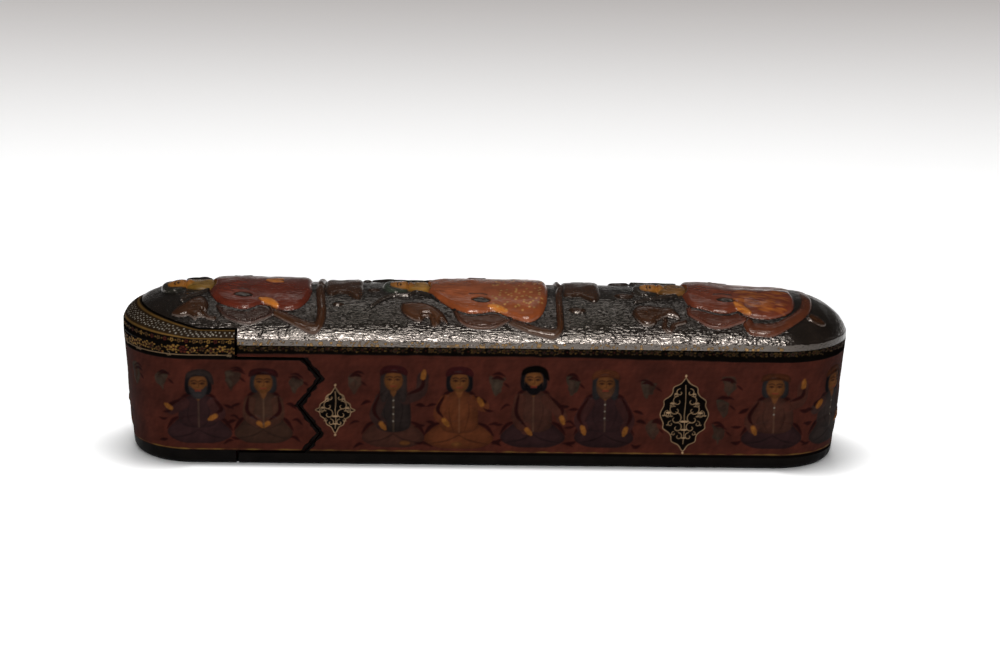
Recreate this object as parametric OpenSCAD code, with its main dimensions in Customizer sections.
// Pen box of lacquered paper pulp: an oval-ended case with a domed top moulded in relief,
// and a drawer that pulls out of its open end, with an inkwell and a writing set inside.
// The box lies along X on the table at z = 0. The drawer's head is the end at -X.

/* [Box] */
// Length of the closed box
box_len = 220; // [195:1:250]
// Width across the crest, where the dome starts
box_w = 44; // [42:0.5:52]
// Height of the crest above the table
crest_z = 38.5; // [35:0.5:44]
// Rise of the dome above the crest
dome_rise = 12.3; // [10:0.1:15]
// Drop of the dome's middle below the crest, which sets how sharp the crest is
shoulder_drop = 0.6; // [0.4:0.1:4]
// Lean of each wall between the crest and the table
wall_lean = 2.9; // [1.5:0.1:3.5]
// Radius of the rounded bottom edge
base_round = 3.2; // [3:0.1:5]
// Thickness of the case walls
wall_t = 2.6; // [2:0.1:3]
// Thickness of the domed top
dome_t = 3; // [2:0.1:4]
// Thickness of the case floor
floor_t = 2.6; // [2:0.1:3.4]

/* [Mouth of the case] */
// Length of the drawer's head, from the end of the box to the upright joint
head_len = 35; // [31:0.5:40]
// Reach of the side tongues past the upright joint
tongue_reach = 25; // [18:0.5:30]
// Set-back of a side tongue's corners from its cusp tips
corner_back = 5; // [2:0.5:8]
// Depth of the notch between the two cusps
notch_depth = 6.5; // [3:0.5:9]
// Distance of each cusp tip from the nearer edge of the tongue
cusp_inset = 5.8; // [4:0.1:8]
// Height of the line along which the side tongues end below
foot_h = 4.9; // [4.5:0.1:7]
// Height of the ornament band between the side tongues and the crest
band_h = 4.4; // [3.5:0.1:6]
// Inset of the lid's tongue from the long sides of the head
lid_inset = 2.2; // [2:0.1:5]
// Further inset of the lid's tongue at the round end of the head
lid_end_inset = 4; // [0:0.1:6]
// Height of the lid's tongue's lower edge above the crest
lid_edge_rise = 1; // [0.5:0.1:2]
// Open gap between the head and the case
mouth_gap = 0.8; // [0.4:0.1:1.2]

/* [Drawer] */
// Running gap between the drawer and the case
slide_gap = 0.4; // [0.3:0.05:0.6]
// Gap behind the drawer when it is closed
end_gap = 1.5; // [0.5:0.1:3]
// Thickness of the drawer's walls
tray_wall_t = 2; // [1.4:0.1:2.4]
// Thickness of the drawer's floor
tray_floor_t = 2; // [1.4:0.1:3]
// Drop of the drawer's rim below the crest
rim_drop = 4.5; // [3:0.1:7]
// Film of glue between bonded pieces
glue_gap = 0.05; // [0.02:0.01:0.1]
// Thickness of the cross wall beside the inkwell
partition_t = 2; // [1.2:0.1:3]
// Height of the cross wall above the drawer's floor
partition_h = 19; // [12:0.5:24]

/* [Inkwell] */
// Gap round the ink cup inside the drawer's round end
cup_gap = 0.8; // [0.4:0.1:2]
// Height of the ink cup
cup_h = 14; // [10:0.5:17]
// Wall of the ink cup
cup_wall_t = 1.2; // [0.8:0.1:2]
// Bevel round the foot of the ink cup
cup_bevel = 1.5; // [1:0.1:2.5]
// Thickness of the plate on the ink cup
plate_t = 1.4; // [1:0.1:2]
// Overhang of the plate past the cup
plate_lip = 0.4; // [0:0.1:0.6]
// Radius of the mouth of the inkwell
mouth_r = 6.2; // [5:0.1:7.5]
// Wall of the neck round the mouth
neck_t = 1.2; // [0.8:0.1:2]
// Height of the neck
neck_h = 3; // [2.5:0.1:5]
// Overhang of the inkwell's lid past the neck
lid_lip = 0.4; // [0.2:0.1:1]
// Thickness of the inkwell's lid at its rim
lid_t = 1.4; // [1:0.1:2]
// Rise of the lid's crown above its rim
crown_rise = 0.6; // [0.3:0.1:1]
// Gap between the closed lid and the neck
lid_gap = 0.2; // [0.1:0.05:0.4]
// Radius of the ball on the lid
knob_r = 2; // [1.4:0.1:2.6]
// Height of the stem under the ball
knob_stem = 1.6; // [1:0.1:3]
// Radius of the hinge knuckles
knuckle_r = 1.5; // [1.2:0.1:1.8]
// Length of each hinge knuckle
knuckle_len = 3; // [2:0.1:4]
// Radius of the hinge pin
pin_r = 0.7; // [0.5:0.05:0.9]
// Running clearance round the hinge pin
pin_fit = 0.05; // [0.02:0.01:0.1]
// Gap between neighbouring knuckles
knuckle_gap = 0.2; // [0.1:0.05:0.4]

/* [Writing set] */
// Gap between the tools and what lies beside them
tool_gap = 0.3; // [0.15:0.05:0.5]
// Gap between the cross wall and the ends of the tools
butt_gap = 1; // [0.3:0.1:3]
// Radius of the two pens on the drawer's floor
pen_r = 3.9; // [3:0.1:4]
// Radius of the pen that lies on those two
top_pen_r = 3.5; // [2.8:0.1:4]
// Wall of a reed
reed_t = 1.3; // [0.9:0.1:1.8]
// Room past the longest pen
pen_room = 9; // [6:0.5:20]
// Difference in length from one pen to the next
pen_step = 8; // [4:0.5:15]
// Length of the slanting cut of a nib
nib_len = 20; // [12:0.5:26]
// Width of a nib at its tip
nib_w = 3; // [1.5:0.1:4]
// Radius of the penknife's ferrule
knife_r = 3.6; // [3:0.1:4]
// Step from the ferrule down to the handle
ferrule_step = 0.2; // [0.1:0.05:0.5]
// Length of the penknife's handle
handle_len = 62; // [45:0.5:66]
// Length of the ferrule
ferrule_len = 5; // [3:0.5:8]
// Length of the penknife's blade
blade_len = 36; // [25:0.5:38]
// Thickness of the blade
blade_t = 1.2; // [0.8:0.1:1.8]
// Gap between the bone plate for trimming nibs and the drawer's wall
bone_gap = 3.4; // [1:0.1:5]
// Thickness of the bone plate
bone_t = 3; // [2:0.1:4]

/* [Relief on the top] */
// Height of the relief above the dome
relief_h = 2.2; // [1.2:0.1:2.6]
// Distance of the first head from the drawer's end of the box
first_head = 22; // [20:0.5:26]
// Distance of the middle head from the middle of the box
middle_head = 22; // [16:0.5:26]
// Distance of the last head from the closed end of the box
last_head = 57; // [54:0.5:62]
// Radius of a head
head_r = 4.2; // [3:0.1:5]
// Distance from a head to the shoulders
neck_reach = 9; // [8:0.5:11]
// Radius of the shoulders
shoulder_r = 7; // [5:0.1:8]
// Distance from the shoulders to the knees
lap_reach = 18; // [14:0.5:22]
// Radius of each knee
knee_r = 6.5; // [5:0.1:8]
// Sideways place of each knee
knee_y = 7; // [5:0.1:8]
// Radius of the largest lobe of a rock
rock_r = 3.4; // [2:0.1:4.5]

/* [Hidden] */
$fn = 64;
half_w = box_w / 2;
end_x = box_len / 2 - half_w;
top_z = crest_z + dome_rise;
dome_c = crest_z - shoulder_drop;
dome_tall = dome_rise + shoulder_drop;
dome_wide = half_w / sqrt(1 - pow(shoulder_drop / dome_tall, 2));
lean_a = atan(wall_lean / crest_z);
inner_round = max(base_round - wall_t, 1);
room = 2 * box_w;

joint_x = head_len - box_len / 2;
tip_x = joint_x + tongue_reach;
tongue_top = crest_z - band_h;

tray_out = wall_t + slide_gap;
tray_in = tray_out + tray_wall_t;
tray_low = floor_t + slide_gap;
tray_floor = tray_low + tray_floor_t;
tray_top = crest_z - rim_drop;
tray_end_x = end_x - end_gap;
tray_r = wall_r(tray_floor) - tray_in;

cup_r = tray_r - cup_gap;
cup_top = tray_floor + cup_h;
neck_low = cup_top + plate_t;
neck_r = mouth_r + neck_t;
lid_low = neck_low + neck_h + lid_gap;
lid_r = neck_r + lid_lip;
lid_crown = lid_t + crown_rise;
hinge_x = -end_x + lid_r + knuckle_r + knuckle_gap;
hinge_z = lid_low + lid_t / 2;
ear_y = knuckle_len + knuckle_gap;
hinge_len = 3 * knuckle_len + 2 * knuckle_gap;

partition_x = -end_x + cup_r + plate_lip + cup_gap;
bay_x = partition_x + partition_t + butt_gap;
bay_len = tray_end_x - bay_x;
first_pen_y = -(tray_r - tool_gap - pen_r);
second_pen_y = first_pen_y + 2 * pen_r + tool_gap;
knife_y = second_pen_y + pen_r + tool_gap + knife_r;
pen_pitch = second_pen_y - first_pen_y;
top_pen_rise = sqrt(pow(pen_r + top_pen_r + glue_gap, 2) - pow(pen_pitch / 2, 2));
tool_floor = tray_floor + glue_gap;
ferrule_x = bay_x + handle_len;
blade_x = ferrule_x + ferrule_len;
blade_w = 1.6 * knife_r;
edge_r = (blade_len * blade_len + blade_w * blade_w) / (2 * blade_w);
bone_x = blade_x + blade_len + tool_gap;
bone_y = second_pen_y + pen_r + tool_gap;
bone_len = tray_end_x + tray_r / 2 - bone_x;
bone_w = tray_r - bone_gap - bone_y;
rest_r = bone_w / 3;

lacquer = "#3a1712";
black_lacquer = "#17110d";
robe_brown = "#6b3d26";
bare_pulp = "#8a6a45";
brass_tone = "#b08d4a";
reed_tone = "#b9823f";
bone_tone = "#e4d8bd";
steel_tone = "#8f9296";

// Distance of the outer wall from the box's middle line at a height
function wall_r(z) = half_w - wall_lean * (1 - z / crest_z);

// Half of a cross-section: a leaning wall with a rounded foot, under an elliptical dome
module half_section(inset, low, dome_grow, foot) {
    base_r = wall_r(low) - inset;
    foot_x = base_r + foot * tan(lean_a) - foot / cos(lean_a);
    roof = top_z + relief_h + 1;
    intersection() {
        union() {
            polygon([
                [0, low], [foot_x, low],
                [foot_x + foot * cos(lean_a), low + foot * (1 - sin(lean_a))],
                [wall_r(roof) - inset, roof], [0, roof]
            ]);
            translate([foot_x, low + foot]) circle(foot);
        }
        union() {
            translate([0, dome_c])
                scale([(dome_wide + dome_grow) / (dome_tall + dome_grow), 1]) circle(dome_tall + dome_grow);
            translate([0, low]) square([box_w, max(dome_c - low, 1)]);
        }
    }
}

// The box's round-ended form, set in from the outside by an inset
module loaf(inset, low, dome_grow, foot, right_x = end_x) {
    translate([-end_x, 0, 0]) rotate([90, 0, 90]) linear_extrude(right_x + end_x) {
        half_section(inset, low, dome_grow, foot);
        mirror([1, 0]) half_section(inset, low, dome_grow, foot);
    }
    translate([right_x, 0, 0]) rotate([0, 0, -90]) rotate_extrude(angle = 180)
        half_section(inset, low, dome_grow, foot);
    translate([-end_x, 0, 0]) rotate([0, 0, 90]) rotate_extrude(angle = 180)
        half_section(inset, low, dome_grow, foot);
}

// Outline of the lid's tongue from above
module lid_tongue_plan(grow) {
    r = half_w - lid_inset + grow;
    translate([lid_end_inset - end_x, 0]) circle(r);
    translate([lid_end_inset - end_x, -r]) square([joint_x + end_x + wall_t, 2 * r]);
}

// Outline of a side tongue with its two cusps, from the front
module side_tongue_plan(grow) {
    low = foot_h - grow;
    high = tongue_top + grow;
    corner_x = tip_x - corner_back + grow;
    polygon([
        [joint_x - 1, low], [corner_x, low],
        [tip_x + grow, foot_h + cusp_inset],
        [tip_x - notch_depth + grow, (foot_h + tongue_top) / 2],
        [tip_x + grow, tongue_top - cusp_inset],
        [corner_x, high], [joint_x - 1, high]
    ]);
}

// The space that the drawer's head takes below and round the lid's tongue, grown by a gap for the case's cut
module head_zone(grow, tongue_low) {
    difference() {
        translate([-box_len, -room / 2, -1]) cube([box_len + joint_x + grow, room, 2 * top_z]);
        translate([0, 0, tongue_low]) linear_extrude(2 * dome_rise + room)
            lid_tongue_plan(mouth_gap - grow);
    }
    rotate([90, 0, 0]) linear_extrude(room, center = true) side_tongue_plan(grow);
}

// Case with its open, cusped mouth and the lid's tongue
module case_shell() color(lacquer) difference() {
    loaf(0, 0, 0, base_round);
    loaf(wall_t, floor_t, -dome_t, inner_round);
    head_zone(mouth_gap, crest_z + lid_edge_rise);
}

// A layer of relief on the dome, cut to an outline seen from above
module relief() intersection() {
    translate([0, 0, crest_z]) linear_extrude(room) children();
    difference() {
        loaf(-relief_h, 0, relief_h, base_round);
        loaf(-glue_gap, 0, glue_gap, base_round);
    }
}

// Seated figure from above: head, shoulders, lap and two knees
module figure_outline(x) translate([x, 0]) {
    circle(head_r);
    translate([neck_reach, 0]) circle(shoulder_r);
    polygon([
        [neck_reach, shoulder_r * 0.9], [neck_reach + lap_reach, knee_y + knee_r * 0.8],
        [neck_reach + lap_reach + knee_r * 0.6, knee_y], [neck_reach + lap_reach + knee_r * 0.6, -knee_y],
        [neck_reach + lap_reach, -knee_y - knee_r * 0.8], [neck_reach, -shoulder_r * 0.9]
    ]);
    for (side = [-1, 1])
        translate([neck_reach + lap_reach, side * knee_y]) circle(knee_r);
}

module lid_figure_left() color(robe_brown) relief() figure_outline(first_head - box_len / 2);

module lid_figure_middle() color(robe_brown) relief() figure_outline(-middle_head);

module lid_figure_right() color(robe_brown) relief() figure_outline(box_len / 2 - last_head);

// Three-lobed rock from above
module rock_outline(x, y) translate([x, y]) {
    circle(rock_r);
    translate([rock_r, rock_r / 3]) circle(rock_r * 0.7);
    translate([-rock_r, rock_r / 4]) circle(rock_r * 0.6);
}

// Rocks beside the middle and the last head
module lid_rocks() color(black_lacquer) relief()
    for (x = [-middle_head, box_len / 2 - last_head], side = [-1, 1])
        rock_outline(x, side * (head_r + 2.4 * rock_r));

// Trough of the drawer
module drawer_tray() color(bare_pulp) difference() {
    intersection() {
        loaf(tray_out, tray_low, -dome_t, inner_round, tray_end_x);
        translate([-box_len, -room / 2, 0]) cube([2 * box_len, room, tray_top]);
    }
    loaf(tray_in, tray_floor, 0, cup_bevel / 2, tray_end_x);
}

// Outer end of the drawer, bonded round the trough, with the two side tongues
module drawer_head() color(lacquer) difference() {
    intersection() {
        loaf(0, 0, 0, base_round);
        head_zone(0, tongue_top);
    }
    loaf(tray_out - glue_gap, tray_low - glue_gap, -dome_t, inner_round);
}

// Cross wall between the inkwell and the pens
module inkwell_partition() color(bare_pulp) intersection() {
    loaf(tray_in + glue_gap, tray_floor + glue_gap, 0, cup_bevel / 2, tray_end_x);
    translate([partition_x, -room / 2, 0]) cube([partition_t, room, tray_floor + partition_h]);
}

module inkwell_cup() color(brass_tone) translate([-end_x, 0, tray_floor]) rotate_extrude() polygon([
    [0, 0], [cup_r - cup_bevel, 0], [cup_r, cup_bevel], [cup_r, cup_h],
    [cup_r - cup_wall_t, cup_h], [cup_r - cup_wall_t, cup_bevel + cup_wall_t],
    [cup_r - cup_bevel - cup_wall_t, cup_wall_t], [0, cup_wall_t]
]);

module inkwell_plate() color(brass_tone) translate([-end_x, 0, cup_top]) difference() {
    cylinder(h = plate_t, r = cup_r + plate_lip);
    translate([0, 0, -1]) cylinder(h = plate_t + 2, r = mouth_r);
}

module inkwell_neck() color(brass_tone) translate([-end_x, 0, neck_low]) difference() {
    cylinder(h = neck_h, r = neck_r);
    translate([0, 0, -1]) cylinder(h = neck_h + 2, r = mouth_r);
}

// A hinge knuckle along Y, centred on a place along the pin
module knuckle(y) translate([hinge_x, y, hinge_z]) rotate([90, 0, 0])
    cylinder(h = knuckle_len, r = knuckle_r, center = true);

// Round of given radius along the hinge's axis
module hinge_round(r, length) translate([hinge_x, 0, hinge_z]) rotate([90, 0, 0])
    cylinder(h = length, r = r, center = true);

// Two fixed knuckles, each on a post that stands on the plate
module hinge_ears() color(brass_tone) difference() {
    for (side = [-1, 1]) {
        knuckle(side * ear_y);
        translate([hinge_x - knuckle_r / 2, side * ear_y - knuckle_len / 2, neck_low])
            cube([knuckle_r * 1.5, knuckle_len, hinge_z - neck_low]);
    }
    hinge_round(pin_r + pin_fit, 2 * hinge_len);
}

module hinge_pin() color(steel_tone) hinge_round(pin_r, hinge_len);

// Round lid with a low crown, and the moving knuckle on its leaf
module inkwell_lid() color(brass_tone) difference() {
    union() {
        translate([-end_x, 0, lid_low]) rotate_extrude() polygon([
            [0, 0], [lid_r, 0], [lid_r, lid_t * 0.6], [lid_r - lid_t, lid_t],
            [knob_r, lid_crown], [0, lid_crown]
        ]);
        knuckle(0);
        translate([-end_x + lid_r - lid_t, -knuckle_len / 2, lid_low])
            cube([hinge_x + end_x - lid_r + lid_t, knuckle_len, lid_t / 2]);
    }
    hinge_round(pin_r + pin_fit, 2 * hinge_len);
}

// Ball on a short stem, the grip of the inkwell's lid
module lid_knob() color(brass_tone) translate([-end_x, 0, lid_low + lid_crown]) {
    cylinder(h = knob_stem, r = knob_r / 2);
    translate([0, 0, knob_stem + knob_r * 0.8]) sphere(knob_r);
}

// Hollow reed along X with a slanting nib at its far end
module reed_pen(r, length) difference() {
    rotate([0, 90, 0]) cylinder(h = length, r = r);
    translate([-1, 0, 0]) rotate([0, 90, 0]) cylinder(h = length + 2, r = r - reed_t);
    rotate([90, 0, 0]) linear_extrude(4 * r, center = true) polygon([
        [length - nib_len, 2 * r], [length - nib_len, r],
        [length - nib_len / 2, -r * 0.3], [length + 1, -r * 0.5], [length + 1, 2 * r]
    ]);
    for (side = [0, 1]) mirror([0, side, 0]) translate([0, 0, -2 * r]) linear_extrude(4 * r) polygon([
        [length - nib_len / 2, r], [length - nib_len / 3, nib_w / 2],
        [length + 1, nib_w / 2], [length + 1, 2 * r], [length - nib_len / 2, 2 * r]
    ]);
}

module reed_pen_front() color(reed_tone) translate([bay_x, first_pen_y, tool_floor + pen_r])
    reed_pen(pen_r, bay_len - pen_room - pen_step);

module reed_pen_back() color(reed_tone) translate([bay_x, second_pen_y, tool_floor + pen_r])
    reed_pen(pen_r, bay_len - pen_room);

module reed_pen_top() color(reed_tone)
    translate([bay_x, (first_pen_y + second_pen_y) / 2, tool_floor + pen_r + top_pen_rise])
        reed_pen(top_pen_r, bay_len - pen_room - 2 * pen_step);

// Places the penknife's parts on the knife's own axis
module on_knife(x) translate([x, knife_y, tool_floor + knife_r]) children();

module knife_handle() color(bone_tone) on_knife(bay_x) rotate([0, 90, 0]) rotate_extrude() polygon([
    [0, 0], [knife_r * 0.5, 0], [knife_r - ferrule_step, knife_r * 0.5],
    [knife_r - ferrule_step, handle_len], [0, handle_len]
]);

module knife_ferrule() color(brass_tone) on_knife(ferrule_x) rotate([0, 90, 0])
    cylinder(h = ferrule_len, r = knife_r);

// Single-edged blade, its back straight and its edge swept up to the point
module knife_blade() color(steel_tone) on_knife(blade_x) translate([0, -blade_w / 2, -blade_t / 2])
    linear_extrude(blade_t) intersection() {
        square([blade_len + 1, blade_w]);
        translate([0, edge_r]) circle(edge_r, $fn = 240);
    }

// Bone plate on which nibs are trimmed, with a grooved rest for the pen
module nib_plate() color(bone_tone) translate([bone_x, bone_y, tray_floor]) {
    cube([bone_len, bone_w, bone_t]);
    difference() {
        translate([bone_len / 4, 0, bone_t]) cube([bone_len / 3, bone_w, rest_r]);
        translate([0, bone_w / 2, bone_t + rest_r]) rotate([0, 90, 0])
            cylinder(h = bone_len, r = rest_r);
    }
}

case_shell();
lid_figure_left();
lid_figure_middle();
lid_figure_right();
lid_rocks();
drawer_tray();
drawer_head();
inkwell_partition();
inkwell_cup();
inkwell_plate();
inkwell_neck();
hinge_ears();
hinge_pin();
inkwell_lid();
lid_knob();
reed_pen_front();
reed_pen_back();
reed_pen_top();
knife_handle();
knife_ferrule();
knife_blade();
nib_plate();
